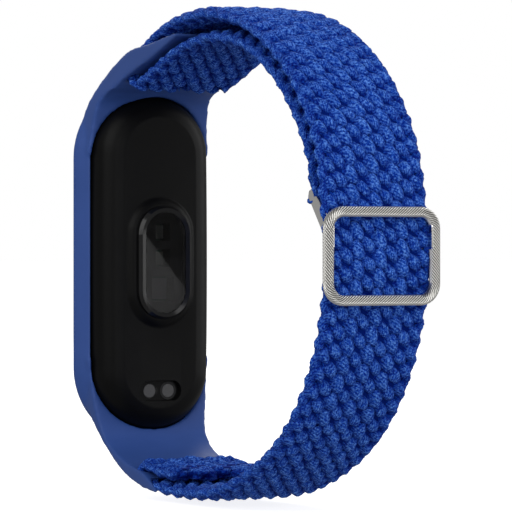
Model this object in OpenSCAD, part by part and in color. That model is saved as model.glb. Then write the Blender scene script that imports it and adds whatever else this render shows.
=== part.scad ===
// Fitness tracker band: a pill-shaped tracker capsule in a silicone holder,
// closed by one strip of flat braided elastic with a sliding buckle.
//
// Frame: the origin is the centre of the wrist opening. +Y runs along the wrist,
// through the opening. The tracker lies at -X with its screen facing -X and its
// sensor facing the wrist, and the buckle lies at +X. +Z runs up the tracker.

/* [Strap] */
// Width of the braided strap
strap_w = 13.3; // [12.9:0.1:13.9]
// Thickness of one layer of the strap
strap_t = 2; // [1.6:0.1:2.2]
// Thickness of the sewn end where it is squeezed flat
strap_end_t = 1.3; // [1:0.1:1.3]
// Radius of the single layer's middle about the wrist centre, where the buckle slides
slide_r = 29.2; // [29.1:0.05:29.25]

/* [Buckle] */
// Width of the buckle frame, along the wrist
buckle_w = 16.7; // [16.7:0.1:17.4]
// Height of the buckle frame, along the strap
buckle_h = 12.2; // [11.8:0.1:12.8]
// Diameter of the frame's wire
buckle_wire_d = 1.3; // [1.1:0.05:1.3]
// Radius of the frame's corners, at the middle of the wire
buckle_corner_r = 2.1; // [1.5:0.1:3]
// Diameter of the rear bar that the strap's end is sewn round
bar_d = 1; // [1:0.1:1.2]

/* [Holder] */
// Width of the holder over its two rails
holder_w = 20.6; // [20.2:0.1:21.4]
// Width of the strap slots in the two lugs
slot_w = 14.2; // [14.1:0.1:14.3]
// Gap left round the strap in its slots
slot_gap = 0.15; // [0.1:0.01:0.2]

/* [Capsule] */
// Width of the tracker capsule
capsule_w = 18.1; // [17.9:0.05:18.2]
// Length of the tracker capsule
capsule_l = 46.9; // [46.5:0.1:47.2]
// Height of the capsule's middle above the wrist centre
capsule_z = -0.9; // [-1.2:0.1:-0.6]
// Clearance between the capsule and its pocket, each side
pocket_gap = 0.1; // [0.08:0.01:0.15]

/* [Hidden] */
fine = 64;
eps = 0.01;

// X of the capsule's layers, from the wrist side to the screen side.
x_ring = -25.05;
x_back = -26.8;
x_shell_open = -33.6;
x_mid_front = -35.6;
x_front = -37.5;
shell_wall = 1.0;
shell_r = capsule_w / 2 - 0.3;
front_edge = capsule_w / 2 - 0.5;
capsule_straight = capsule_l - capsule_w;
capsule_end_z = capsule_straight / 2;

// X of the holder's front and wrist-side edges.
holder_front = -33.6;
holder_back = -30;
holder_end_r = holder_w / 2;

// The sensor under the back of the capsule.
ring_w = 8;
ring_l = 15.6;
window_w = 6.2;
window_l = 13.8;
contact_y = 1.45;
contact_z = capsule_z - 17.6;
contact_d = 1.8;

// The vibration motor.
motor_z = capsule_z + 16.6;
motor_r = 4;
motor_x = [-33.4, -30.6];
motor_shaft_r = 0.3;

// The rear bar of the buckle, as an angle and a radius about the wrist centre.
bar_angle = 16.5;
loop_t = 0.8;
loop_gap = 0.08;
loop_r = bar_d / 2 + loop_gap + loop_t;
bar_r = slide_r - strap_t / 2 - 0.12 - loop_r;
stitch_r = 25.65;
bar_x = bar_r * cos(bar_angle);
bar_z = bar_r * sin(bar_angle);

// The frame lies flat, just clear of the strap where its two cross bars pass over it.
frame_z = buckle_h / 2 - buckle_wire_d / 2;
frame_y = buckle_w / 2 - buckle_wire_d / 2;
frame_clear = 0.08;
cheek_t = 0.5;
cheek_y = strap_w / 2 + 0.1 + cheek_t / 2;
frame_r = slide_r + strap_t / 2 + frame_clear + buckle_wire_d / 2;
frame_x = sqrt(pow(frame_r, 2) - pow(frame_z, 2));

// ---- Curves in the plane of the loop, as [x, z] points ----

function polar(r, a) = [r * cos(a), r * sin(a)];

// One point of a Catmull-Rom curve between b and c, at t from 0 to 1.
function spline_point(a, b, c, d, t) =
    0.5 * (2 * b + (c - a) * t + (2 * a - 5 * b + 4 * c - d) * t * t + (3 * b - a - 3 * c + d) * t * t * t);

// A smooth curve through the points, with n steps between neighbours.
function smooth_path(p, n = 5) =
    let (last = len(p) - 1)
    concat([for (i = [0 : last - 1], k = [0 : n - 1])
                spline_point(p[max(i - 1, 0)], p[i], p[i + 1], p[min(i + 2, last)], k / n)],
           [p[last]]);

// The unit normal of a path at point i.
function path_normal(p, i) =
    let (d = p[min(i + 1, len(p) - 1)] - p[max(i - 1, 0)], l = norm(d))
    [-d[1], d[0]] / l;

// A closed outline along a path, t thick.
function ribbon(p, t) =
    concat([for (i = [0 : len(p) - 1]) p[i] + path_normal(p, i) * t / 2],
           [for (i = [len(p) - 1 : -1 : 0]) p[i] - path_normal(p, i) * t / 2]);

// The turn round a lug's crossbar, from one angle to another about its centre.
function turn(centre, r, from, to, n = 14) = [for (k = [0 : n]) centre + polar(r, from + (to - from) * k / n)];

// A path without its last point, so that the next stretch can start there.
function but_last(p) = [for (i = [0 : len(p) - 2]) p[i]];

top_bar = [-20.8, 24.9];
top_bar_r = 0.6;
top_turn_r = top_bar_r + slot_gap + strap_t / 2;
low_bar = [-18.3, -29.3];
low_bar_r = 0.45;
low_turn_r = low_bar_r + slot_gap + strap_end_t / 2;

// The strap's middle line. The single layer starts at the bottom lug and runs up the right side.
// Past the buckle it is the outer layer, which turns round the crossbar of the top lug.
main_start = [-13.8, -30.85];
top_turn = turn(top_bar, top_turn_r, 112, 288);
main_path = concat(
    but_last(smooth_path(concat(
        [main_start, [-9.6, -31.1], [-4.5, -31], [1.5, -30.35], [8, -28.4]],
        [for (a = [-60 : 12 : 12]) polar(slide_r, a)],
        [polar(29.9, 25), polar(30.2, 38), polar(30.4, 54), polar(30.75, 72)],
        [[0.5, 31.3], [-7.2, 31.15], [-13.6, 29.85], top_turn[0]]))),
    top_turn);

// The inner layer, back from the top lug to the buckle.
return_path = smooth_path(concat(
    [top_bar + polar(top_turn_r, 288), [-16.4, 24.55], [-12, 26.3], [-7, 27.65], [0.3, 28.35]],
    [polar(28.25, 72), polar(28, 54), polar(27.8, 38), polar(27.3, 27), polar(26.7, 20.6)]));

// The sewn end: through the bottom lug's slot, round its crossbar and back along the inside.
low_turn = turn(low_bar, low_turn_r, 266, 82);
fold_path = concat([main_start], low_turn, [[-14.2, -28.65], [-9.4, -29.15]]);

// ---- Shapes ----

// An outline in the plane of the loop, drawn w wide along the wrist about the middle.
module across(w) {
    rotate([90, 0, 0]) linear_extrude(height = w, center = true) children();
}

// A strip of strap along a path.
module strip(path, t, w) {
    across(w) polygon(ribbon(path, t));
}

// A pill with one outline all round it: the points are [distance from the edge's centre line, x].
module pill(points, straight = capsule_straight, z = capsule_z) {
    translate([0, 0, z]) {
        for (side = [-1, 1])
            translate([0, 0, side * straight / 2])
                rotate([0, 90, 0])
                    rotate([0, 0, side > 0 ? 90 : -90])
                        rotate_extrude(angle = 180, $fn = fine) polygon(points);
        linear_extrude(height = straight, center = true)
            for (side = [-1, 1])
                polygon([for (q = points) [q[1], side * q[0]]]);
    }
}

// A pill-shaped plate between two X planes.
module pill_plate(w, l, x0, x1, z = capsule_z) {
    pill([[0, x0], [w / 2, x0], [w / 2, x1], [0, x1]], l - w, z);
}

// A pill-shaped ring between two X planes.
module pill_ring(w, l, wall, x0, x1, z = capsule_z) {
    pill([[w / 2 - wall, x0], [w / 2, x0], [w / 2, x1], [w / 2 - wall, x1]], l - w, z);
}

// A block given by its lowest corner and its size.
module block(corner, size) {
    translate(corner) cube(size);
}

// A cylinder along X.
module x_rod(r, x0, x1, y, z) {
    translate([x0, y, z]) rotate([0, 90, 0]) cylinder(r = r, h = x1 - x0, $fn = fine);
}

// A cylinder along Y, about the middle.
module y_rod(r, w, x, z) {
    translate([x, 0, z]) rotate([90, 0, 0]) cylinder(r = r, h = w, center = true, $fn = fine);
}

// ---- Holder ----

// The lugs seen from the side: one above and one below the capsule.
module lug_outlines() {
    polygon(concat(
        smooth_path([[-33.2, 14], [-33.1, 17.5], [-32.2, 20.4], [-30.3, 22.7], [-27.2, 25], [-24, 26.8],
                     [-21.4, 27.75], [-18.8, 28.1], [-16.2, 28.3], [-13, 28.8], [-8.6, 29.4]], 3),
        smooth_path([[-8.4, 28.95], [-12.4, 27.5], [-16, 26.1], [-19.4, 25], [-22.4, 23.9], [-24.6, 22.8],
                     [-26.6, 22.2], [-28.4, 21], [-29.2, 19.3], [-29.7, 17], [holder_back, 14]], 3)));
    polygon(concat(
        smooth_path([[-33.2, -14], [-33.1, -17.2], [-32.2, -20.6], [-30.6, -23.4], [-28, -26.2], [-24.7, -28.5],
                     [-21.1, -30.1], [-17.1, -31.1], [-14.2, -31.5]], 3),
        smooth_path([[-13.9, -31.2], [-16, -29.9], [-18.5, -28.8], [-22.3, -27.9], [-25.6, -26.6],
                     [-27.8, -25], [-28.9, -23], [-29.5, -20.3], [-29.9, -17.5], [holder_back, -14]], 3)));
}

// The holder's outline seen from the front, narrowing from the rails to the lug tips.
module lug_widths() {
    half = smooth_path([[9.5, 0], [9.5, 13], [9.15, 16], [8.95, 18.5], [8.75, 20.5], [8.3, 23], [7.95, 25.5],
                        [7.75, 28], [7.7, 33]], 3);
    for (end = [-1, 1])
        polygon(concat([for (p = half) [p[0], end * p[1]]],
                       [for (i = [len(half) - 1 : -1 : 0]) [-half[i][0], end * half[i][1]]]));
}

module holder() {
    color([0.17, 0.28, 0.53])
    difference() {
        union() {
            pill([[0, holder_front], [holder_end_r - 0.7, holder_front], [holder_end_r - 0.2, holder_front + 0.25],
                  [holder_end_r, holder_front + 0.7], [holder_end_r - 0.05, holder_back - 2.6],
                  [holder_end_r - 0.3, holder_back - 2], [holder_end_r - 0.8, holder_back - 1.1],
                  [holder_end_r - 1.2, holder_back - 0.35], [holder_end_r - 1.45, holder_back],
                  [0, holder_back]]);
            intersection() {
                across(2 * holder_w) lug_outlines();
                rotate([90, 0, 90]) linear_extrude(height = 80, center = true) lug_widths();
            }
        }
        pocket();
        strip(main_path, strap_t + 2 * slot_gap, slot_w);
        strip(return_path, strap_t + 2 * slot_gap, slot_w);
        strip(fold_path, strap_end_t + 2 * slot_gap, slot_w);
    }
}

// The space for the capsule. It is open to the screen side and narrows a little at the wrist side,
// where the capsule's back rests.
module pocket() {
    r = shell_r + pocket_gap;
    pill([[0, x_front], [r, x_front], [r, x_back - 3.6], [r - 0.13, x_back - 2.5], [r - 0.5, x_back - 1.5],
          [r - 0.5, x_back + 3], [0, x_back + 3]]);
}

// ---- Strap ----

strap_blue = [0.08, 0.22, 0.66];

module strap_main() {
    color(strap_blue) strip(main_path, strap_t, strap_w);
}

module strap_return() {
    color(strap_blue) strip(return_path, strap_t, strap_w);
}

module strap_fold() {
    color(strap_blue) strip(fold_path, strap_end_t, strap_w);
}

// The strap's other end, wrapped round the buckle's rear bar.
module strap_end_loop() {
    color(strap_blue)
    difference() {
        y_rod(loop_r, strap_w, bar_x, bar_z);
        y_rod(loop_r - loop_t, strap_w + 1, bar_x, bar_z);
    }
}

// A row of sewn stitches across the strap.
module stitch_row(x, z, count) {
    pitch = (strap_w - 2.4) / count;
    for (i = [0 : count - 1])
        translate([x, -strap_w / 2 + 1.2 + pitch * (i + 0.5), z])
            rotate([90, 0, 0]) cylinder(d = 0.3, h = pitch * 0.7, center = true, $fn = 16);
}

module lug_stitching() {
    color([0.06, 0.16, 0.5]) {
        stitch_row(-12.6, -28.02, 7);
        stitch_row(-11.2, -28.2, 7);
    }
}

module buckle_stitching() {
    color([0.06, 0.16, 0.5])
    for (a = [22, 24])
        stitch_row(polar(stitch_r, a)[0], polar(stitch_r, a)[1], 7);
}

// ---- Buckle ----

silver = [0.74, 0.73, 0.71];

module frame_wire() {
    r = buckle_wire_d / 2;
    y = frame_y - buckle_corner_r;
    z = frame_z - buckle_corner_r;
    for (side = [-1, 1]) {
        translate([frame_x, 0, side * frame_z]) rotate([90, 0, 0])
            cylinder(r = r, h = 2 * y, center = true, $fn = fine);
        translate([frame_x, side * frame_y, 0]) cylinder(r = r, h = 2 * z, center = true, $fn = fine);
    }
    for (i = [0 : 3])
        translate([frame_x, (i == 0 || i == 3 ? 1 : -1) * y, (i < 2 ? 1 : -1) * z])
            rotate([0, 90, 0]) rotate([0, 0, 90 + 90 * i])
                rotate_extrude(angle = 90, $fn = fine) translate([buckle_corner_r, 0]) circle(r = r);
}

// The two triangular cheeks that carry the rear bar behind the frame.
module cheeks() {
    eye_r = bar_d / 2 + 0.2;
    for (side = [-1, 1])
        translate([0, side * cheek_y, 0])
            rotate([90, 0, 0])
                linear_extrude(height = cheek_t, center = true)
                    difference() {
                        hull() {
                            translate([bar_x, bar_z]) circle(r = eye_r, $fn = fine);
                            translate([frame_x, 3.6]) circle(r = 0.5, $fn = 32);
                            translate([frame_x, 1.2]) circle(r = 0.5, $fn = 32);
                        }
                        translate([bar_x, bar_z]) circle(r = bar_d / 2, $fn = fine);
                    }
}

module buckle_frame() {
    color(silver) {
        frame_wire();
        cheeks();
    }
}

module buckle_bar() {
    color(silver) y_rod(bar_d / 2, 2 * cheek_y + cheek_t, bar_x, bar_z);
}

// ---- Capsule shells ----

black = [0.07, 0.07, 0.08];

// The outline of the back shell, outside and then inside.
module back_shell() {
    in = shell_r - shell_wall;
    color(black)
    difference() {
        pill([[0, x_back], [5.4, x_back], [7, x_back - 0.45], [8.1, x_back - 1.35], [8.6, x_back - 2.5],
              [shell_r, x_back - 3.6], [shell_r, x_shell_open], [in, x_shell_open], [in, x_back - 3.4],
              [6.7, x_back - 1.7], [5.2, x_back - shell_wall], [0, x_back - shell_wall]]);
        pill_plate(ring_w - 0.8, ring_l - 0.8, x_back - shell_wall - 1, x_back + 1);
        for (side = [-1, 1])
            x_rod(contact_d / 2 + 0.35, x_back - shell_wall - 1, x_back + 1, side * contact_y, contact_z);
        contact_recess();
    }
}

// The shallow dish that the two charging contacts sit in.
module contact_recess() {
    translate([x_back - 0.45, 0, contact_z])
        rotate([0, 90, 0])
            linear_extrude(height = 2)
                offset(r = 1.2, $fn = 32) square([1.4, 4], center = true);
}

module mid_frame() {
    color(black)
    pill([[shell_r - 1.35, x_shell_open - 0.02], [capsule_w / 2, x_shell_open - 0.02],
          [capsule_w / 2 - 0.1, x_shell_open - 1], [front_edge, x_mid_front], [shell_r - 1.35, x_mid_front]]);
}

module shell_gasket() {
    color([0.2, 0.2, 0.2])
    pill_ring(2 * (shell_r - shell_wall - 0.05), 2 * (shell_r - shell_wall - 0.05) + capsule_straight, 0.35,
              x_shell_open, x_shell_open + 0.8);
}

module front_glass() {
    color([0.05, 0.05, 0.06, 0.9])
    pill([[0, x_front], [5.8, x_front], [6.9, x_front + 0.25], [7.8, x_front + 0.8], [8.3, x_mid_front - 0.55],
          [front_edge, x_mid_front - 0.02], [7.5, x_mid_front - 0.02], [6.4, x_front + 0.9], [0, x_front + 0.9]]);
}

module display_panel() {
    color([0.02, 0.02, 0.03])
    block([x_front + 0.94, -5.5, capsule_z - 12.2], [0.75, 11, 24.4]);
}

module display_gasket() {
    outer = [13.2, 26.6];
    inner = [11.4, 25];
    color([0.1, 0.1, 0.1])
    translate([x_mid_front - 0.6, 0, capsule_z])
        rotate([90, 0, 90])
            linear_extrude(height = 0.5)
                difference() {
                    square(outer, center = true);
                    square(inner, center = true);
                }
}

// The display's ribbon, folded from the panel down to the main board.
module display_flex() {
    color([0.62, 0.36, 0.1])
    translate([0, 0, capsule_z])
        across(6)
            polygon([[-36.5, -12.3], [-36.5, -13.8], [-35.5, -13.8], [-35.5, -13.5], [-36.3, -13.5], [-36.3, -12.3]]);
}

// ---- Electronics ----

board_x = -35.45;
board_t = 0.7;

module main_board() {
    color([0.02, 0.2, 0.12])
    pill_plate(14.4, 42, board_x, board_x + board_t);
}

module shield_can() {
    color([0.75, 0.75, 0.76])
    difference() {
        block([board_x + board_t, -4.8, capsule_z + 5], [1.3, 9.6, 7]);
        block([board_x + board_t - 1, -4.6, capsule_z + 5.2], [2.1, 9.2, 6.6]);
    }
}

module motion_sensor_chip() {
    color([0.1, 0.1, 0.1])
    block([board_x + board_t, -1.25, capsule_z + 7], [0.75, 2.5, 3]);
}

// The chip antenna, clear of the battery and the can.
module radio_antenna() {
    color([0.85, 0.85, 0.8])
    block([board_x + board_t, -2.5, capsule_z - 20.2], [0.9, 5, 1.6]);
}

battery_z = [capsule_z - 17.4, capsule_z + 4];
battery_x = -34.4;

module battery_cell() {
    color([0.78, 0.78, 0.8])
    translate([battery_x, 0, (battery_z[0] + battery_z[1]) / 2])
        rotate([90, 0, 90])
            linear_extrude(height = 3.8)
                offset(r = 1, $fn = 32)
                    square([11, battery_z[1] - battery_z[0] - 2], center = true);
}

module battery_protection_board() {
    color([0.02, 0.25, 0.15])
    block([battery_x + 1.2, -4.5, battery_z[1] + 0.05], [2, 9, 0.6]);
}

module motor_case() {
    color([0.8, 0.8, 0.8])
    difference() {
        x_rod(motor_r, motor_x[0], motor_x[1], 0, motor_z);
        x_rod(motor_r - 0.25, motor_x[0] + 0.3, motor_x[1] - 0.3, 0, motor_z);
    }
}

module motor_shaft() {
    color([0.6, 0.6, 0.62]) x_rod(motor_shaft_r, motor_x[0] + 0.3, motor_x[1] - 0.3, 0, motor_z);
}

// The eccentric weight: a half disc with a hub that runs on the shaft.
module motor_rotor() {
    hub_r = 0.9;
    x0 = motor_x[0] + 0.55;
    x1 = motor_x[1] - 0.55;
    color([0.55, 0.5, 0.4])
    difference() {
        union() {
            x_rod(hub_r, x0, x1, 0, motor_z);
            intersection() {
                x_rod(motor_r - 0.5, x0, x1, 0, motor_z);
                block([x0, -motor_r, motor_z - motor_r], [x1 - x0, 2 * motor_r, motor_r]);
            }
        }
        x_rod(motor_shaft_r + 0.05, x0 - 1, x1 + 1, 0, motor_z);
    }
}

// ---- Optical sensor and charging contacts ----

sensor_board_x = -29.3;

module sensor_board() {
    color([0.02, 0.2, 0.12])
    pill_plate(9, 16.4, sensor_board_x, sensor_board_x + 0.6);
}

// Where the light sources and the detector stand, as z from the capsule's middle.
led_z = [4.2, 0.6];
diode_z = -3.6;
chip_x = sensor_board_x + 0.6;

module sensor_leds() {
    color([0.2, 0.5, 0.25])
    for (z = led_z)
        block([chip_x, -0.9, capsule_z + z - 0.9], [0.8, 1.8, 1.8]);
}

module sensor_photodiode() {
    color([0.12, 0.12, 0.14])
    block([chip_x, -1.45, capsule_z + diode_z - 1.45], [0.8, 2.9, 2.9]);
}

// The black insert with one well over each light source and one over the detector.
module sensor_light_wall() {
    color(black)
    difference() {
        pill_plate(window_w - 0.1, window_l - 0.1, chip_x + 0.05, x_ring - 1.25);
        for (z = led_z)
            block([chip_x - 1, -1.1, capsule_z + z - 1.2], [6, 2.2, 2.4]);
        block([chip_x - 1, -1.7, capsule_z + diode_z - 1.7], [6, 3.4, 3.4]);
    }
}

// The raised pill-shaped rim round the sensor window.
module sensor_ring() {
    wall = (ring_w - window_w) / 2;
    in = window_w / 2;
    color([0.12, 0.12, 0.13])
    pill([[in, x_back - 0.9], [in + wall - 0.45, x_back - 0.9], [in + wall - 0.45, x_back + 0.01],
          [in + wall, x_back + 0.01], [in + wall, x_ring - 0.5], [in + wall - 0.35, x_ring], [in, x_ring - 0.15]],
         ring_l - ring_w);
}

module sensor_window() {
    color([0.03, 0.03, 0.04, 0.8])
    pill_plate(window_w - 0.06, window_l - 0.06, x_ring - 1.2, x_ring - 0.25);
}

module charging_contacts() {
    color([0.45, 0.45, 0.46])
    for (side = [-1, 1]) {
        x_rod(contact_d / 2, x_back - 1.6, x_back - 0.5, side * contact_y, contact_z);
        x_rod(contact_d / 2 + 0.5, x_back - 1.9, x_back - 1.6, side * contact_y, contact_z);
    }
}

// A soft ring round each contact, where it passes through the shell.
module contact_seals() {
    color([0.05, 0.05, 0.05])
    for (side = [-1, 1])
        difference() {
            x_rod(contact_d / 2 + 0.33, x_back - 0.95, x_back - 0.5, side * contact_y, contact_z);
            x_rod(contact_d / 2 + 0.02, x_back - 2, x_back, side * contact_y, contact_z);
        }
}

module charging_magnets() {
    color([0.7, 0.7, 0.72])
    for (side = [-1, 1])
        x_rod(1.3, x_back - 3.7, x_back - 1.8, side * 4.3, contact_z + 0.6);
}

holder();
strap_main();
strap_return();
strap_fold();
strap_end_loop();
lug_stitching();
buckle_stitching();
buckle_frame();
buckle_bar();
back_shell();
mid_frame();
front_glass();
display_panel();
display_gasket();
display_flex();
main_board();
shield_can();
motion_sensor_chip();
radio_antenna();
battery_cell();
battery_protection_board();
motor_case();
motor_shaft();
motor_rotor();
sensor_board();
sensor_leds();
sensor_photodiode();
sensor_light_wall();
sensor_ring();
sensor_window();
charging_contacts();
contact_seals();
charging_magnets();
shell_gasket();
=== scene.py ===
"""Fitness tracker band: a braided elastic strap with a sliding buckle on a silicone-held tracker capsule."""
import math

import bpy
import numpy as np
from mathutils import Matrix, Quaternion, Vector


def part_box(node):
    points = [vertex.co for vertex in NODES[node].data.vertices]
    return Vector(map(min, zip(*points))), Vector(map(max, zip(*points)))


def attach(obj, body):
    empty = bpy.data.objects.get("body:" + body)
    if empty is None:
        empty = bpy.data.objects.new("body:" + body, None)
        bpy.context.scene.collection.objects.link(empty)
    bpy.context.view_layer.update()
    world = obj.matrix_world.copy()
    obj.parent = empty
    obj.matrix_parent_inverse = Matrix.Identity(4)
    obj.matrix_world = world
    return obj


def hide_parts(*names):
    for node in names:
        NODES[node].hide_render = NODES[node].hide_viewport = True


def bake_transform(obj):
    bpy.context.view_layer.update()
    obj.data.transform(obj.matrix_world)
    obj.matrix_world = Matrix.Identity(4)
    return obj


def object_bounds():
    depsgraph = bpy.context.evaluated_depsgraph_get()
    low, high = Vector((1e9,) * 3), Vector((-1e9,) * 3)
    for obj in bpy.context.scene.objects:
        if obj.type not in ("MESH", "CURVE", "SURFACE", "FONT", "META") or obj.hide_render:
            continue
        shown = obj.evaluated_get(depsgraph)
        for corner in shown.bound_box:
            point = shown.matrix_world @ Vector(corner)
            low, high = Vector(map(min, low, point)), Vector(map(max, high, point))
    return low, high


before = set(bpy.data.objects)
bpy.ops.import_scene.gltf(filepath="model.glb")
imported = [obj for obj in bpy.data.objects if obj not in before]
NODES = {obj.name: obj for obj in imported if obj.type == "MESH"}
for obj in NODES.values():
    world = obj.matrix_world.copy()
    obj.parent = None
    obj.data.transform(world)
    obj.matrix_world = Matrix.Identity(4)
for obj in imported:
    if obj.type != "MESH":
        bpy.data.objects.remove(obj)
cad_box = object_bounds()
MM = 0.001

# ---------------------------------------------------------------- camera

CAMERA_AZIMUTH = math.radians(60)
CAMERA_DISTANCE = 0.45
CAMERA_LENS = 242.4
CAMERA_SHIFT = -0.004


def make_camera():
    """A long lens level with the wrist opening, looking at the back of the capsule and the buckle."""
    data = bpy.data.cameras.new("camera")
    data.sensor_width = 36
    data.lens = CAMERA_LENS
    data.shift_x = CAMERA_SHIFT
    data.clip_start = 0.01
    data.clip_end = 20
    camera = bpy.data.objects.new("camera", data)
    bpy.context.scene.collection.objects.link(camera)
    back = Vector((math.sin(CAMERA_AZIMUTH), -math.cos(CAMERA_AZIMUTH), 0))
    camera.location = back * CAMERA_DISTANCE
    camera.rotation_euler = back.to_track_quat("Z", "Y").to_euler()
    bpy.context.scene.camera = camera


make_camera()

# ---------------------------------------------------------------- mesh helpers


def mesh_object(name, points, faces, uv=None, crown=None, smooth=True):
    """A mesh from points in millimetres, with one UV pair and one crown value per point if given."""
    mesh = bpy.data.meshes.new(name)
    mesh.from_pydata((np.asarray(points, float) * MM).tolist(), [], [list(f) for f in faces])
    if uv is not None:
        layer = mesh.uv_layers.new(name="UVMap")
        loops = np.zeros(len(mesh.loops), np.int32)
        mesh.loops.foreach_get("vertex_index", loops)
        layer.data.foreach_set("uv", np.asarray(uv, np.float32)[loops].ravel())
    if crown is not None:
        attribute = mesh.attributes.new("crown", "FLOAT", "POINT")
        attribute.data.foreach_set("value", np.asarray(crown, np.float32))
    mesh.polygons.foreach_set("use_smooth", [smooth] * len(mesh.polygons))
    mesh.validate()
    obj = bpy.data.objects.new(name, mesh)
    bpy.context.scene.collection.objects.link(obj)
    return obj


def grid_faces(rows, columns, closed_rows=False, first=0):
    """Quads over a grid of points laid out row by row, each row a closed ring."""
    faces = []
    for i in range(rows if closed_rows else rows - 1):
        j = (i + 1) % rows
        for k in range(columns):
            n = (k + 1) % columns
            faces.append((first + i * columns + k, first + j * columns + k,
                          first + j * columns + n, first + i * columns + n))
    return faces


def baked(obj, name):
    """A new object with obj's modifiers applied; obj itself goes away."""
    graph = bpy.context.evaluated_depsgraph_get()
    mesh = bpy.data.meshes.new_from_object(obj.evaluated_get(graph))
    made = bpy.data.objects.new(name, mesh)
    bpy.context.scene.collection.objects.link(made)
    bpy.data.objects.remove(obj)
    mesh.polygons.foreach_set("use_smooth", [True] * len(mesh.polygons))
    return made


# ---------------------------------------------------------------- materials


def new_material(name, color, roughness, metallic=0.0, specular=0.5):
    """A Principled material and its node tree, with the plain values set on the shader."""
    material = bpy.data.materials.new(name)
    material.use_nodes = True
    shader = material.node_tree.nodes["Principled BSDF"]
    shader.inputs["Base Color"].default_value = (*color, 1)
    shader.inputs["Roughness"].default_value = roughness
    shader.inputs["Metallic"].default_value = metallic
    shader.inputs["Specular IOR Level"].default_value = specular
    return material, material.node_tree, shader


def ramp(tree, source, stops):
    """A colour ramp fed by source; stops are (position, colour) pairs."""
    node = tree.nodes.new("ShaderNodeValToRGB")
    elements = node.color_ramp.elements
    while len(elements) < len(stops):
        elements.new(0.5)
    for element, (position, color) in zip(elements, stops):
        element.position = position
        element.color = (*color, 1)
    tree.links.new(source, node.inputs["Fac"])
    return node.outputs["Color"]


def bump(tree, shader, height, strength, distance):
    """Connects a height to the shader's normal."""
    node = tree.nodes.new("ShaderNodeBump")
    node.inputs["Strength"].default_value = strength
    node.inputs["Distance"].default_value = distance
    tree.links.new(height, node.inputs["Height"])
    tree.links.new(node.outputs["Normal"], shader.inputs["Normal"])


def noise(tree, vector, scale, detail=3.0, roughness=0.55):
    """A noise texture's value; the scale is per metre."""
    node = tree.nodes.new("ShaderNodeTexNoise")
    node.inputs["Scale"].default_value = scale
    node.inputs["Detail"].default_value = detail
    node.inputs["Roughness"].default_value = roughness
    tree.links.new(vector, node.inputs["Vector"])
    return node.outputs["Fac"]


def object_coordinates(tree):
    """Places on the object itself, in metres."""
    return tree.nodes.new("ShaderNodeTexCoord").outputs["Object"]


def blended(tree, kind, a, b, factor):
    """Two values or colours, mixed in the way that kind names."""
    node = tree.nodes.new("ShaderNodeMix")
    node.data_type = "RGBA"
    node.blend_type = kind
    node.inputs["Factor"].default_value = factor
    tree.links.new(a, node.inputs["A"])
    tree.links.new(b, node.inputs["B"])
    return node.outputs["Result"]


def painted_shade_mask(tree):
    """The height that each vertex carries, 0 in a groove and 1 on a crown, as the mask for painted shade in
    the grooves.
    """
    node = tree.nodes.new("ShaderNodeAttribute")
    node.attribute_name = "crown"
    return node.outputs["Fac"]


def uneven_roughness(tree, shader, source, low, high):
    """Roughness that follows a value between two limits."""
    node = tree.nodes.new("ShaderNodeMapRange")
    node.inputs["To Min"].default_value = low
    node.inputs["To Max"].default_value = high
    tree.links.new(source, node.inputs["Value"])
    tree.links.new(node.outputs["Result"], shader.inputs["Roughness"])


def yarn_material():
    """Dyed nylon yarn: many fine twisted filaments, with painted shade darkening the colour between the
    yarns' crowns.
    """
    material, tree, shader = new_material("braided_nylon_painted_shade", (0.012, 0.085, 0.55), 0.75, specular=0.08)
    uv = tree.nodes.new("ShaderNodeTexCoord").outputs["UV"]
    mapping = tree.nodes.new("ShaderNodeMapping")
    mapping.inputs["Rotation"].default_value = (0, 0, math.radians(38))
    tree.links.new(uv, mapping.inputs["Vector"])
    wave = tree.nodes.new("ShaderNodeTexWave")
    wave.wave_type = "BANDS"
    wave.bands_direction = "Y"
    wave.inputs["Scale"].default_value = 1.05
    wave.inputs["Distortion"].default_value = 2.6
    wave.inputs["Detail"].default_value = 3
    wave.inputs["Detail Scale"].default_value = 1.4
    tree.links.new(mapping.outputs["Vector"], wave.inputs["Vector"])
    place = object_coordinates(tree)
    specks = noise(tree, place, 3300, roughness=0.65)
    specks = ramp(tree, specks, [(0.36, (0, 0, 0)), (0.64, (1, 1, 1))])
    patches = noise(tree, place, 420, detail=2)
    fibres = blended(tree, "MIX", wave.outputs["Fac"], specks, 0.76)
    color = ramp(tree, fibres, [(0.15, (0.0005, 0.026, 0.34)), (0.45, (0.014, 0.104, 0.64)),
                                (0.85, (0.15, 0.36, 1.0))])
    tint = ramp(tree, patches, [(0.3, (0.7, 0.78, 0.86)), (0.7, (1.0, 1.0, 1.0))])
    # Painted shade: the colour darkens where the crown value is low, in the grooves between the yarns.
    painted_crevice_shade = ramp(tree, painted_shade_mask(tree), [(0.4, (0.06, 0.24, 0.55)), (0.9, (1.0, 1.0, 1.0))])
    color = blended(tree, "MULTIPLY", color, tint, 1.0)
    tree.links.new(blended(tree, "MULTIPLY", color, painted_crevice_shade, 1.0), shader.inputs["Base Color"])
    shader.inputs["Sheen Weight"].default_value = 0.08
    shader.inputs["Sheen Roughness"].default_value = 0.4
    shader.inputs["Sheen Tint"].default_value = (0.15, 0.35, 1.0, 1)
    bump(tree, shader, fibres, 0.8, 0.0003)
    return material


def shade_core_material():
    """The elastic core, its dark colour painted shade: it shows only in the gaps between the yarns, where
    shade falls.
    """
    material, tree, shader = new_material("elastic_core_painted_shade", (0.0005, 0.012, 0.16), 0.9, specular=0.05)
    lines = noise(tree, object_coordinates(tree), 1800)
    bump(tree, shader, lines, 0.3, 0.0001)
    return material


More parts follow.
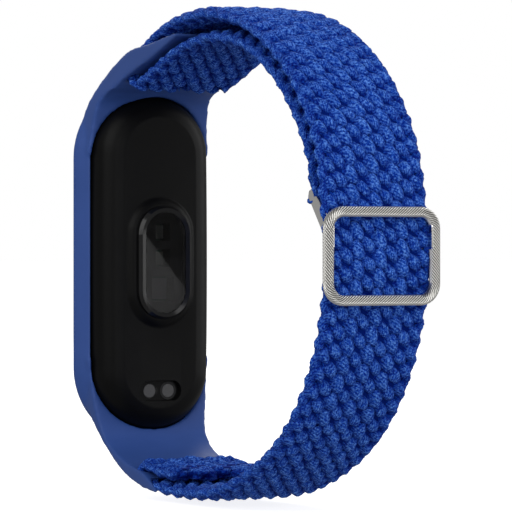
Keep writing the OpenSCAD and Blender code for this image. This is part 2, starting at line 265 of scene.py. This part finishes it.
def silicone_material():
    """Matte dyed silicone with a very fine moulded grain and slight cloudiness."""
    material, tree, shader = new_material("silicone_blue", (0.03, 0.08, 0.3), 0.5, specular=0.3)
    place = object_coordinates(tree)
    grain = noise(tree, place, 9000, detail=2)
    cloud = noise(tree, place, 140)
    color = ramp(tree, cloud, [(0.3, (0.028, 0.075, 0.285)), (0.7, (0.034, 0.086, 0.32))])
    tree.links.new(color, shader.inputs["Base Color"])
    uneven_roughness(tree, shader, cloud, 0.46, 0.6)
    bump(tree, shader, grain, 0.12, 0.00004)
    return material


def fine_plastic(name, color, roughness, grain_scale=7000, grain=0.1, specular=0.3):
    """Moulded plastic with a fine grain and slightly uneven gloss."""
    material, tree, shader = new_material(name, color, roughness, specular=specular)
    place = object_coordinates(tree)
    cloud = noise(tree, place, 300)
    uneven_roughness(tree, shader, cloud, max(roughness - 0.06, 0.02), roughness + 0.08)
    bump(tree, shader, noise(tree, place, grain_scale, detail=2), grain, 0.00003)
    return material


def metal(name, color, roughness, scale=(900, 9000, 900), grain=0.15):
    """Metal with brush marks drawn out along one direction."""
    material, tree, shader = new_material(name, color, roughness, metallic=1.0)
    mapping = tree.nodes.new("ShaderNodeMapping")
    mapping.inputs["Scale"].default_value = scale
    tree.links.new(object_coordinates(tree), mapping.inputs["Vector"])
    marks = noise(tree, mapping.outputs["Vector"], 1.0, detail=4)
    uneven_roughness(tree, shader, marks, max(roughness - 0.08, 0.03), roughness + 0.12)
    bump(tree, shader, marks, grain, 0.00002)
    return material


def ridged_metal_painted_shade(name, color, roughness, groove, crest):
    """Metal with painted shade: its colour darkens in the grooves between its ridges."""
    material = metal(name, color, roughness)
    tree = material.node_tree
    # Painted shade: dark colour in the grooves, full silver on the crests.
    shade = ramp(tree, painted_shade_mask(tree), [(0.3, groove), (0.85, crest)])
    tree.links.new(shade, tree.nodes["Principled BSDF"].inputs["Base Color"])
    return material


def glass_material(name, color, roughness, transmission, ior=1.35):
    """Clear or black glass, very slightly uneven."""
    material, tree, shader = new_material(name, color, roughness)
    shader.inputs["Transmission Weight"].default_value = transmission
    shader.inputs["IOR"].default_value = ior
    bump(tree, shader, noise(tree, object_coordinates(tree), 60, detail=1), 0.02, 0.0001)
    return material


def give(obj, material):
    """Gives an object one material, and returns it."""
    obj.data.materials.clear()
    obj.data.materials.append(material)
    return obj


YARN = yarn_material()
SHADE_CORE = shade_core_material()
SILICONE = silicone_material()

# ---------------------------------------------------------------- the strap's paths


def polar(radius, degrees):
    """An [x, z] point about the middle of the wrist opening."""
    a = math.radians(degrees)
    return np.array([radius * math.cos(a), radius * math.sin(a)])


def spline(points, steps=8):
    """A smooth curve through [x, z] points."""
    p = [np.array(q, float) for q in points]
    last = len(p) - 1
    out = []
    for i in range(last):
        a, b, c, d = p[max(i - 1, 0)], p[i], p[i + 1], p[min(i + 2, last)]
        for k in range(steps):
            t = k / steps
            out.append(0.5 * (2 * b + (c - a) * t + (2 * a - 5 * b + 4 * c - d) * t * t
                              + (3 * b - a - 3 * c + d) * t ** 3))
    out.append(p[last])
    return out


def turn(centre, radius, start, end, steps=14):
    """Points on an arc from one angle to another."""
    return [np.array(centre) + polar(radius, start + (end - start) * k / steps) for k in range(steps + 1)]


def corners(node):
    """A CAD node's lowest and highest corners in millimetres."""
    low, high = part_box(node)
    return np.array(low) / MM, np.array(high) / MM


SLIDE_R = 29.2         # radius of the strap's middle line through the buckle
BUCKLE_BULGE = 0.4     # how much further out it runs at the middle of the frame
BRAID_W = 15.3
BRAID_T = 2.2
FOLD_T = 2.15          # the end sewn through the bottom lug
END_T = 0.95           # the end sewn round the rear bar
MAIN_START = [-13.8, -30.85]
TOP_BAR = [-20.8, 24.9]       # the crossbars of the lugs
LOW_BAR = [-18.3, -29.3]
TOP_TURN_R = 1.75             # the strap's middle line round each
LOW_TURN_R = 1.25
TOP_TURN = turn(TOP_BAR, TOP_TURN_R, 112, 288)
LOW_TURN = turn(LOW_BAR, LOW_TURN_R, 82, 266)
MAIN_PATH = spline([MAIN_START, [-9.6, -31.1], [-4.5, -31], [1.5, -30.35], [8, -28.4],
                    *[polar(SLIDE_R + (BUCKLE_BULGE if a == 0 else 0), a) for a in range(-60, 13, 12)],
                    polar(29.9, 25), polar(30.2, 38), polar(30.4, 54), polar(30.75, 72),
                    [0.5, 31.3], [-7.2, 31.15], [-13.6, 29.85], TOP_TURN[0]])[:-1] + TOP_TURN

BAR_LOW, BAR_HIGH = corners("buckle_bar")
BAR_AT = (BAR_LOW[[0, 2]] + BAR_HIGH[[0, 2]]) / 2
BAR_R = (BAR_HIGH[0] - BAR_LOW[0]) / 2
BAR_GAP = 0.05
BAR_TURN = turn(BAR_AT, BAR_R + BAR_GAP + END_T / 2, 34, -166, 20)
SEWN_TAIL = spline([BAR_TURN[-1], polar(26.0, 20.5), polar(26.25, 25.5)], 5)
RETURN_PATH = spline([TOP_TURN[-1], [-16.4, 24.55], [-12, 26.3], [-7, 27.65], [0.3, 28.35],
                      polar(28.25, 72), polar(28, 54), polar(27.85, 38), polar(27.75, 28), BAR_TURN[0]])
RETURN_PATH = RETURN_PATH[:-1] + BAR_TURN[:-1] + SEWN_TAIL
FOLD_END = spline([[-10.1, -28.95], [-14.2, -28.75], LOW_TURN[0]], 5)
FOLD_PATH = FOLD_END[:-1] + LOW_TURN + [np.array(MAIN_START)]


class Route:
    """A path by its length, with the outward direction at every point."""

    def __init__(self, points):
        self.points = np.array(points)
        steps = np.linalg.norm(np.diff(self.points, axis=0), axis=1)
        self.at = np.concatenate([[0], np.cumsum(steps)])
        self.length = self.at[-1]
        tangents = np.gradient(self.points, self.at, axis=0)
        tangents /= np.linalg.norm(tangents, axis=1)[:, None]
        self.normals = np.stack([tangents[:, 1], -tangents[:, 0]], axis=1)

    def place(self, s, across, out):
        """Points at length s, moved across the strap and outward."""
        inside = np.clip(s, 0, self.length)
        x = np.interp(inside, self.at, self.points[:, 0])
        z = np.interp(inside, self.at, self.points[:, 1])
        nx = np.interp(inside, self.at, self.normals[:, 0])
        nz = np.interp(inside, self.at, self.normals[:, 1])
        size = np.hypot(nx, nz)
        over = s - inside
        return np.stack([x + out * nx / size - over * nz / size, across,
                         z + out * nz / size + over * nx / size], axis=-1)

    def crossings(self, pitch, step=0.1, spare=4):
        """Lengths, and how many yarn crossings lie before each: two to every pitch(route, s)."""
        s = np.arange(-spare, self.length + spare, step)
        each = step * 2 / pitch(self, s)
        return s, np.concatenate([[0], np.cumsum(each[:-1])])


# ---------------------------------------------------------------- the braid

YARNS = 10
SIDE_PITCH = 2.25        # length of two crossings down the side of the loop
TOP_PITCH = 3.1          # and along its top and bottom
YARN_W = 1.7
YARN_W_LEAST = 1.3
YARN_H = 1.2
LEAN = 0.45              # slant of the rows: shift along for each millimetre across
SIDES = 14
STEPS_PER_CROSSING = 8
EDGE_RUN = 1.14          # over 1, a yarn runs along the edge before it turns back
EDGE_DIP = 0.25          # how much flatter the weave is at its edges
EDGE_THINNING = 0.12     # and how much thinner its yarns are there
CROWN_SWELL = 0.1        # yarns are wider at the crossings than between them
STEP_EASE = 0.05         # and move across more slowly there
PLIES = 3
PLY_TWIST = 2.1          # length over which one ply takes the place of the next
PLY_DEPTH = 0.05
FUZZ = 0.05              # unevenness of the yarns' surface
BIAS = -0.16             # yarns on the way across stand lower and narrower than on the way back
YARN_UV_ROUND = 4.6      # texture length round a yarn, in millimetres


def braid_pitch(route, s):
    """The elastic is drawn tighter where the loop runs level than down its side."""
    slope = np.abs(np.interp(s, route.at, route.normals[:, 1]))
    return SIDE_PITCH + (TOP_PITCH - SIDE_PITCH) * slope ** 1.2


def yarn_line(m, reach, rise):
    """Where one yarn runs, m crossings along it: across the strap and out of it."""
    phase = np.mod(m - STEP_EASE * np.sin(2 * np.pi * m), 2 * YARNS)
    across = reach * np.clip(EDGE_RUN * (1 - 2 * np.abs(phase / YARNS - 1)), -1, 1)
    side = np.clip(np.sin(np.pi * m / YARNS) / math.sin(math.pi / YARNS), -1, 1)
    return -across, rise * np.cos(np.pi * m) * side


def smoothed(values, width):
    """Values averaged with their neighbours under a bell curve."""
    kernel = np.exp(-0.5 * (np.arange(-3 * width, 3 * width + 1) / width) ** 2)
    padded = np.pad(values, 3 * width, mode="reflect", reflect_type="odd")
    return np.convolve(padded, kernel / kernel.sum(), mode="valid")


def unchanged(s):
    """A scale of 1 all along."""
    return np.ones_like(s)


def braid(name, points, thickness=BRAID_T, shift=0.0, thin=unchanged, narrow=unchanged):
    """A flat braid along a path, each yarn over one and under one.

    thin(s) and narrow(s) scale its thickness and width along the path.
    """
    route = Route(points)
    table_s, table_m = route.crossings(braid_pitch)
    reach = (BRAID_W - YARN_W) / 2
    height = YARN_H * thickness / BRAID_T
    rise = (thickness - height) / 2
    ring = np.linspace(0, 2 * np.pi, SIDES, endpoint=False)
    verts, faces, uvs, crowns = [], [], [], []
    count = 0
    random = np.random.default_rng(7)
    for yarn in range(YARNS):
        offset = 2 * yarn + shift
        m = np.arange(table_m[0], table_m[-1], 1 / STEPS_PER_CROSSING)
        across, out = yarn_line(m + offset, reach, rise)
        across = smoothed(across, 3)
        s = np.interp(m, table_m, table_s)
        pitch = braid_pitch(route, s)
        s = s - LEAN * across * pitch / TOP_PITCH
        keep = (s > -0.05) & (s < route.length + 0.05)
        m, across, out, s, pitch = m[keep] + offset, across[keep], out[keep], s[keep], pitch[keep]
        flat, slim = thin(s), narrow(s)
        edge = np.abs(across) / reach
        favoured = BIAS * np.sin(np.pi * m / YARNS)
        out = out * flat * (1 - EDGE_DIP * edge ** 4) * (1 + favoured)
        across = across * slim
        swell = 1 + CROWN_SWELL * np.cos(2 * np.pi * m) + favoured
        flow = np.stack([np.gradient(across), np.gradient(s)], axis=1)
        length = np.linalg.norm(flow, axis=1)
        along = np.concatenate([[0], np.cumsum(length[1:])])
        flow /= length[:, None]
        ply = 1 + PLY_DEPTH * np.cos(PLIES * ring[None, :] + 2 * np.pi * along[:, None] / PLY_TWIST)
        ply = ply + FUZZ * random.standard_normal(ply.shape)
        width = smoothed(np.clip(pitch * np.abs(flow[:, 0]), YARN_W_LEAST, None), 3)
        wide = np.cos(ring)[None, :] * (width / 2 * swell)[:, None] * ply
        high = np.sin(ring)[None, :] * (height / 2 * flat * (1 - EDGE_THINNING * edge ** 4))[:, None] * ply
        ring_across = across[:, None] + wide * flow[:, 1:2]
        ring_s = s[:, None] - wide * flow[:, 0:1]
        ring_out = out[:, None] + high
        verts.append(route.place(ring_s, ring_across, ring_out).reshape(-1, 3))
        # Crown values mask the painted shade between the yarns: low in the grooves, high on the crowns and
        # at the strap's edges.
        lift = np.abs(ring_out) * 2 / (thickness * flat[:, None])
        side = (np.abs(ring_across) - BRAID_W / 2 * slim[:, None]) / YARN_W + 1
        crowns.append(np.maximum(lift, side).ravel())
        length_uv = np.repeat(along[:, None], SIDES, axis=1)
        round_uv = np.repeat((ring / (2 * np.pi) * YARN_UV_ROUND)[None, :], len(m), axis=0)
        uvs.append(np.stack([length_uv, round_uv], axis=-1).reshape(-1, 2))
        faces += grid_faces(len(m), SIDES, first=count)
        faces.append(tuple(range(count, count + SIDES)))
        faces.append(tuple(range(count + len(m) * SIDES - 1, count + (len(m) - 1) * SIDES - 1, -1)))
        count += len(m) * SIDES
    mesh = mesh_object(name, np.concatenate(verts), faces, np.concatenate(uvs), np.concatenate(crowns))
    return give(mesh, YARN)


CORE_W = BRAID_W - 2.4
CORE_T = 0.75
CORE_SECTION = [(-0.5, 0), (-0.46, 0.5), (0.46, 0.5), (0.5, 0), (0.46, -0.5), (-0.46, -0.5)]


def core(name, points, thin=unchanged):
    """The flat elastic core inside a braid, a thin slab with rounded edges."""
    route = Route(points)
    s = np.arange(0.3, route.length - 0.3, 0.5)
    rows = [route.place(s, np.full_like(s, a * CORE_W), b * CORE_T * thin(s)) for a, b in CORE_SECTION]
    ring_points = np.stack(rows, axis=1).reshape(-1, 3)
    faces = grid_faces(len(s), len(CORE_SECTION))
    faces.append(tuple(range(len(CORE_SECTION))))
    faces.append(tuple(range(len(ring_points) - 1, len(ring_points) - len(CORE_SECTION) - 1, -1)))
    # Its dark material is painted shade for the gaps between the yarns.
    return give(mesh_object(name, ring_points, faces), SHADE_CORE)


BUCKLE_SWELL = 0.02      # how much wider the strap is inside the buckle


def make_main_strap():
    """The long layer, from the bottom lug round the buckle to the crossbar of the top lug."""
    route = Route(MAIN_PATH)
    middle = route.at[np.argmin(np.hypot(route.points[:, 0] - SLIDE_R, route.points[:, 1] - 2))]

    def narrow(s):
        """Fuller away from the lugs, and most of all where it swells inside the buckle."""
        spread = np.interp(s, [6, 14, route.length - 16, route.length - 8], [1, 1.03, 1.03, 1])
        return spread + BUCKLE_SWELL * np.exp(-((s - middle) / 7.0) ** 4)

    strap = braid("strap_braid_main", MAIN_PATH, narrow=narrow)
    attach(strap, "root")
    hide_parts("strap_main")
    inner = core("strap_core_main", MAIN_PATH)
    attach(inner, "root")


def make_return_strap():
    """The inner layer back to the buckle, thinned where it wraps the rear bar and is sewn to itself."""
    length = Route(RETURN_PATH).length
    wrap = length - 14.5

    def thin(s):
        sewn = END_T / BRAID_T
        return np.interp(s, [0, wrap, wrap + 4.5, length - 1.5, length], [1, 1, sewn, sewn, 0.25])

    def narrow(s):
        return np.interp(s, [0, wrap + 3, wrap + 9, wrap + 11.5, length], [1, 1.02, 1.02, 0.9, 0.86])

    back = braid("strap_braid_return", RETURN_PATH, shift=0.6, thin=thin, narrow=narrow)
    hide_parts("strap_return", "strap_end_loop")
    inner = core("strap_core_return", RETURN_PATH, thin=thin)
    for piece in (back, inner):
        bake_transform(piece)


def make_fold():
    """The other end, sewn flat through the bottom lug; its cut end is pressed thin."""
    def thin(s):
        return np.interp(s, [0, 1.0, 2.2], [0.6, 0.95, 1])

    fold = braid("strap_braid_fold", FOLD_PATH, thickness=FOLD_T, shift=1.1, thin=thin)
    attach(fold, "root")
    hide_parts("strap_fold")
    inner = core("strap_core_fold", FOLD_PATH, thin=thin)
    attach(inner, "root")


make_main_strap()
make_return_strap()
make_fold()

# ---------------------------------------------------------------- the holder


def make_holder():
    """The silicone body: the CAD solid's copy, remeshed and smoothed so that every edge is soft."""
    source = NODES["holder"]
    raw = bpy.data.objects.new("holder_raw", source.data.copy())
    bpy.context.scene.collection.objects.link(raw)
    remesh = raw.modifiers.new("remesh", "REMESH")
    remesh.mode = "VOXEL"
    remesh.voxel_size = 0.00022
    smooth = raw.modifiers.new("smooth", "SMOOTH")
    smooth.factor = 0.5
    smooth.iterations = 14
    holder = baked(raw, "holder_silicone")
    give(holder, SILICONE)
    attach(holder, "root")
    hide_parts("holder")


make_holder()

# ---------------------------------------------------------------- the buckle

WIRE_R = 0.65
CORNER_R = 2.1
FRAME_LOW, FRAME_HIGH = corners("buckle_frame")
FRAME_X = FRAME_HIGH[0] - WIRE_R
FRAME_Y = FRAME_HIGH[1] - WIRE_R
FRAME_Z = -FRAME_LOW[2] - WIRE_R


def frame_line(count):
    """Points and outward directions round the rounded rectangle of the frame, as (y, z)."""
    straight_y, straight_z = 2 * (FRAME_Y - CORNER_R), 2 * (FRAME_Z - CORNER_R)
    corner = math.pi / 2 * CORNER_R
    lengths = [straight_z / 2, corner, straight_y, corner, straight_z, corner, straight_y, corner,
               straight_z / 2]
    total = sum(lengths)
    centres = [(1, 1), (-1, 1), (-1, -1), (1, -1)]
    points, outs = [], []
    for s in np.arange(count) * total / count:
        part = 0
        while s > lengths[part]:
            s -= lengths[part]
            part += 1
        if part % 2:
            cy, cz = centres[part // 2]
            a = math.pi / 2 * (part // 2) + s / CORNER_R
            out = np.array([math.cos(a), math.sin(a)])
            centre = np.array([cy * (FRAME_Y - CORNER_R), cz * (FRAME_Z - CORNER_R)])
            point = centre + out * CORNER_R
        else:
            a = math.pi / 2 * (part // 2)
            out = np.array([math.cos(a), math.sin(a)])
            side = np.array([-math.sin(a), math.cos(a)])
            half = (FRAME_Y, FRAME_Z)[(part // 2) % 2]
            begin = {0: 0, 8: -straight_z / 2}.get(part, -lengths[part] / 2)
            point = out * half + side * (begin + s)
        points.append(point)
        outs.append(out)
    return np.array(points), np.array(outs), total


RIDGE_PITCH = 0.4
RIDGE_DEPTH = 0.15


def make_buckle_frame(material):
    """Twisted wire bent to a rounded rectangle: fine ridges run round the wire at a slant."""
    rings, sides, ridges = 1500, 70, 12
    points, outs, total = frame_line(rings)
    theta = np.linspace(0, 2 * np.pi, sides, endpoint=False)
    turns = round(total / RIDGE_PITCH)
    slant = ridges * theta[None, :] - 2 * np.pi * turns * (np.arange(rings) / rings)[:, None]
    height = np.abs(np.cos(slant / 2))
    radius = WIRE_R - RIDGE_DEPTH * (1 - height)
    squared = 1 / (np.abs(np.cos(theta)) ** 5 + np.abs(np.sin(theta)) ** 5) ** 0.2
    radius = radius * np.minimum(squared, 1.12)[None, :]
    radius = np.minimum(radius, WIRE_R * 1.08)
    away = radius * np.cos(theta)[None, :]
    forward = radius * np.sin(theta)[None, :]
    verts = np.stack([FRAME_X + forward,
                      points[:, 0:1] + outs[:, 0:1] * away,
                      points[:, 1:2] + outs[:, 1:2] * away], axis=-1).reshape(-1, 3)
    # The ridge height is stored as the crown value, the mask for the painted shade in the grooves.
    wire = mesh_object("buckle_frame_wire", verts, grid_faces(rings, sides, closed_rows=True),
                       crown=height.ravel())
    give(wire, material)
    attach(wire, "buckle")
    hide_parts("buckle_frame")


CHEEK_T = 0.35
CHEEK_Y = BAR_HIGH[1] - CHEEK_T / 2 + 0.12
CHEEK_ROUND = 0.5        # radius of the front corners
CHEEK_EDGE = 0.12        # width of the bevel round each face
CHEEK_REACH = 2.5        # a plate's mean half width, which the bevel narrows
EYE_WALL = 0.1           # metal round the rear bar


def hull_outline(circles, steps=10):
    """The outline round a few circles given as (x, z, r), as a convex hull."""
    points = []
    for x, z, r in circles:
        for k in range(4 * steps):
            a = 2 * math.pi * k / (4 * steps)
            points.append((x + r * math.cos(a), z + r * math.sin(a)))
    points = sorted(set(points))

    def half(seq):
        chain = []
        for p in seq:
            while len(chain) > 1:
                (ax, ay), (bx, by) = chain[-2], chain[-1]
                if (bx - ax) * (p[1] - ay) - (by - ay) * (p[0] - ax) > 0:
                    break
                chain.pop()
            chain.append(p)
        return chain[:-1]

    return half(points) + half(points[::-1])


def make_cheeks(material):
    """Polished triangular plates that hold the rear bar behind the frame."""
    outline = np.array(hull_outline([(*BAR_AT, BAR_R + EYE_WALL), (FRAME_X, 3.6, CHEEK_ROUND),
                                     (FRAME_X, 1.2, CHEEK_ROUND)]))
    middle = outline.mean(0)
    for side, word in ((-1, "near"), (1, "far")):
        levels = [(-CHEEK_T / 2, CHEEK_EDGE), (-CHEEK_T / 2 + CHEEK_EDGE, 0.0),
                  (CHEEK_T / 2 - CHEEK_EDGE, 0.0), (CHEEK_T / 2, CHEEK_EDGE)]
        verts = []
        for y, shrink in levels:
            inner = middle + (outline - middle) * (1 - shrink / CHEEK_REACH)
            verts += [(x, side * CHEEK_Y + y, z) for x, z in inner]
        n = len(outline)
        faces = grid_faces(len(levels), n)
        faces.append(tuple(range(n)))
        faces.append(tuple(range(len(verts) - 1, len(verts) - n - 1, -1)))
        cheek = give(mesh_object(f"buckle_cheek_{word}", verts, faces, smooth=False), material)
        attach(cheek, "buckle")


SILVER_GROOVE_SHADED = ridged_metal_painted_shade("knurled_silver_painted_shade", (0.62, 0.61, 0.59), 0.34,
                      groove=(0.13, 0.125, 0.115), crest=(0.78, 0.77, 0.74))
POLISHED = metal("polished_silver", (0.8, 0.79, 0.77), 0.16, scale=(300, 300, 300), grain=0.03)
make_buckle_frame(SILVER_GROOVE_SHADED)
make_cheeks(POLISHED)

# ---------------------------------------------------------------- the capsule's back

CAPSULE_Z = -0.9
CAPSULE_STRAIGHT = 28.8
SENSOR_STRAIGHT = 7.6
CONTACT_Z = CAPSULE_Z - 17.6
CONTACT_Y = 1.45
CONTACT_HOLE_R = 1.02
SHELL_LOW, SHELL_HIGH = corners("back_shell")
SHELL_R = SHELL_HIGH[1]
BACK_X = SHELL_HIGH[0]
OPEN_X = SHELL_LOW[0]


def stadium(radius, straight, x, sides=160):
    """A ring of points round a pill outline in the plane of the capsule's back."""
    a = np.linspace(0, 2 * np.pi, sides, endpoint=False)
    lift = np.clip(np.sin(a) * 6, -1, 1) * straight / 2
    return np.stack([np.full(sides, x), radius * np.cos(a), radius * np.sin(a) + lift + CAPSULE_Z], axis=-1)


def lofted(name, rings):
    """A closed mesh through rings of equally many points, the last joined to the first."""
    faces = grid_faces(len(rings), len(rings[0]), closed_rows=True)
    return mesh_object(name, np.concatenate(rings), faces)


def cutter(name, rings):
    """A capped solid for cutting."""
    sides = len(rings[0])
    faces = grid_faces(len(rings), sides)
    faces.append(tuple(range(sides))[::-1])
    faces.append(tuple(range((len(rings) - 1) * sides, len(rings) * sides)))
    return mesh_object(name, np.concatenate(rings), faces)


def slot_ring(half_long, radius, deep_left, deep_right, centre_z, sides=48):
    """A pill outline lying across the capsule, at a depth that differs from side to side."""
    a = np.linspace(0, 2 * np.pi, sides, endpoint=False)
    y = radius * np.cos(a) + np.clip(np.cos(a) * 4, -1, 1) * half_long
    x = np.interp(y, [-half_long - radius, half_long + radius], [deep_left, deep_right])
    return np.stack([x, y, radius * np.sin(a) + centre_z], axis=-1)


def circle_ring(radius, x, y, z, sides=40):
    """A circle in the plane of the capsule's back."""
    a = np.linspace(0, 2 * np.pi, sides, endpoint=False)
    return np.stack([np.full(sides, x), y + radius * np.cos(a), z + radius * np.sin(a)], axis=-1)


def make_capsule_back(material):
    """The moulded back: a soft pill with a low mound round the sensor and a dish round the contacts."""
    side = spline([(SHELL_R, OPEN_X), (SHELL_R, BACK_X - 4.6), (SHELL_R - 0.03, BACK_X - 3.4),
                   (SHELL_R - 0.25, BACK_X - 2.3), (SHELL_R - 0.75, BACK_X - 1.3),
                   (SHELL_R - 1.7, BACK_X - 0.5), (SHELL_R - 2.9, BACK_X - 0.08), (5.45, BACK_X)], 4)
    rings = [stadium(r, CAPSULE_STRAIGHT, x) for r, x in side]
    mound = spline([(5.3, BACK_X), (5.05, BACK_X + 0.1), (4.65, BACK_X + 0.5), (4.2, BACK_X + 0.72),
                    (3.86, BACK_X + 0.72), (3.66, BACK_X + 0.5), (3.58, BACK_X - 0.2)], 4)
    rings += [stadium(r, SENSOR_STRAIGHT, x) for r, x in mound]
    inside = [(3.58, SENSOR_STRAIGHT, BACK_X - 1), (5.2, CAPSULE_STRAIGHT, BACK_X - 1),
              (6.7, CAPSULE_STRAIGHT, BACK_X - 1.7), (SHELL_R - 1, CAPSULE_STRAIGHT, BACK_X - 3.4),
              (SHELL_R - 1, CAPSULE_STRAIGHT, OPEN_X)]
    rings += [stadium(*values) for values in inside]
    shell = lofted("capsule_back_raw", rings[::-1])
    dish = cutter("dish", [slot_ring(1.75, 1.35, BACK_X - 0.3, BACK_X - 0.75, CONTACT_Z),
                           slot_ring(1.95, 1.55, BACK_X + 1, BACK_X + 1, CONTACT_Z)])
    cutters = [dish]
    for word, y in (("near", -CONTACT_Y), ("far", CONTACT_Y)):
        cutters.append(cutter(f"hole_{word}", [circle_ring(CONTACT_HOLE_R, BACK_X - 2, y, CONTACT_Z),
                                               circle_ring(CONTACT_HOLE_R, BACK_X + 1.5, y, CONTACT_Z)]))
    for tool in cutters:
        cut = shell.modifiers.new(tool.name, "BOOLEAN")
        cut.operation = "DIFFERENCE"
        cut.solver = "EXACT"
        cut.object = tool
    back = baked(shell, "capsule_back")
    for tool in cutters:
        bpy.data.objects.remove(tool)
    give(back, material)
    back.data.set_sharp_from_angle(angle=math.radians(38))
    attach(back, "capsule")
    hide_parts("back_shell")


make_capsule_back(fine_plastic("shell_black", (0.003, 0.003, 0.0031), 0.4, specular=0.1))

# ---------------------------------------------------------------- carried-over nodes


def dress_nodes():
    """Materials for the CAD nodes that stay."""
    frame_black = fine_plastic("mid_frame_black", (0.005, 0.005, 0.0055), 0.3, specular=0.2)
    rim = fine_plastic("rim_black", (0.005, 0.005, 0.0055), 0.16, grain=0.03, specular=0.35)
    chip = fine_plastic("chip_black", (0.012, 0.012, 0.012), 0.5)
    foam = fine_plastic("foam_black", (0.02, 0.02, 0.02), 0.9, grain_scale=3000, grain=0.5)
    board = fine_plastic("board_green", (0.01, 0.07, 0.04), 0.35)
    flex = fine_plastic("flex_amber", (0.35, 0.13, 0.02), 0.35)
    ceramic = fine_plastic("ceramic_white", (0.65, 0.62, 0.55), 0.4)
    led = fine_plastic("led_lens", (0.22, 0.24, 0.2), 0.3)
    diode = fine_plastic("diode_glass", (0.16, 0.16, 0.165), 0.3)
    thread = fine_plastic("thread_blue", (0.006, 0.03, 0.26), 0.8, grain_scale=4000, grain=0.6)
    tin = metal("tinned_steel", (0.65, 0.65, 0.66), 0.35)
    steel = metal("ground_steel", (0.55, 0.55, 0.57), 0.25)
    tungsten = metal("sintered_tungsten", (0.28, 0.27, 0.25), 0.5, scale=(3000, 3000, 3000))
    foil = metal("battery_foil", (0.6, 0.6, 0.62), 0.3, scale=(700, 700, 700))
    contact = metal("contact_steel", (0.08, 0.08, 0.082), 0.45, scale=(2500, 2500, 2500), grain=0.5)
    front = glass_material("front_glass", (0.012, 0.012, 0.014), 0.04, 0.0)
    window = glass_material("sensor_window", (0.3, 0.3, 0.31), 0.005, 1.0, ior=1.2)
    panel = fine_plastic("display_black", (0.004, 0.004, 0.005), 0.1)
    dress = {
        frame_black: ["mid_frame"], rim: ["sensor_ring"],
        chip: ["motion_sensor_chip", "sensor_light_wall"],
        foam: ["display_gasket", "contact_seals", "shell_gasket"],
        board: ["main_board", "battery_protection_board", "sensor_board"], flex: ["display_flex"],
        ceramic: ["radio_antenna"], led: ["sensor_leds"], diode: ["sensor_photodiode"],
        thread: ["lug_stitching", "buckle_stitching"], tin: ["shield_can", "motor_case"],
        steel: ["motor_shaft", "charging_magnets"], tungsten: ["motor_rotor"], foil: ["battery_cell"],
        contact: ["charging_contacts"], front: ["front_glass"], window: ["sensor_window"],
        panel: ["display_panel"], POLISHED: ["buckle_bar"],
    }
    for material, names in dress.items():
        for name in names:
            for place in NODES[name].material_slots:
                place.material = material


dress_nodes()

# ---------------------------------------------------------------- floor and light

FLOOR_GAP = 0.6
FLOOR_HALF = 40000
FLOOR_GLOW = 0.85
DOME = 0.325             # strength of the dome as light


def make_stage():
    """A seamless white floor that the camera sees, but that throws no light back on the object."""
    z = cad_box[0][2] / MM - FLOOR_GAP
    corner_points = [(x * FLOOR_HALF, y * FLOOR_HALF, z) for x, y in ((-1, -1), (1, -1), (1, 1), (-1, 1))]
    floor = mesh_object("floor", corner_points, [(0, 1, 2, 3)])
    material, _, shader = new_material("floor_white", (0.5, 0.5, 0.5), 0.9, specular=0.0)
    shader.inputs["Emission Color"].default_value = (1, 1, 1, 1)
    shader.inputs["Emission Strength"].default_value = FLOOR_GLOW
    give(floor, material)
    floor.visible_diffuse = False
    floor.visible_glossy = False
    floor.visible_shadow = False


def soft_light(name, azimuth, elevation, distance, size, power, roll=0.0):
    """A square studio light that faces the object."""
    data = bpy.data.lights.new(name, "AREA")
    data.shape = "SQUARE"
    data.size = size
    data.energy = power
    light = bpy.data.objects.new(name, data)
    bpy.context.scene.collection.objects.link(light)
    a, e = math.radians(azimuth), math.radians(elevation)
    away = Vector((math.sin(a) * math.cos(e), -math.cos(a) * math.cos(e), math.sin(e)))
    light.location = away * distance
    turned = away.to_track_quat("Z", "Y") @ Quaternion((0, 0, 1), math.radians(roll))
    light.rotation_euler = turned.to_euler()


def make_world():
    """White where the camera looks past the object, and a dimmer soft dome as light."""
    world = bpy.data.worlds.new("studio")
    bpy.context.scene.world = world
    world.use_nodes = True
    tree = world.node_tree
    background = tree.nodes["Background"]
    seen = tree.nodes.new("ShaderNodeLightPath")
    strength = tree.nodes.new("ShaderNodeMapRange")
    strength.inputs["To Min"].default_value = DOME
    strength.inputs["To Max"].default_value = 1.0
    tree.links.new(seen.outputs["Is Camera Ray"], strength.inputs["Value"])
    tree.links.new(strength.outputs["Result"], background.inputs["Strength"])
    background.inputs["Color"].default_value = (1, 1, 1, 1)


make_stage()
make_world()
soft_light("key", 28, 28, 0.8, 0.7, 3.05)
soft_light("fill", 88, 10, 0.9, 0.6, 2.15)
soft_light("rim", 165, 12, 0.9, 0.5, 2.2)
soft_light("back", 250, 35, 0.8, 0.6, 3.0)
soft_light("window_card", 111.15, -5.7, 0.868, 0.3, 0.5, roll=36)
bpy.context.scene.view_settings.view_transform = "Standard"
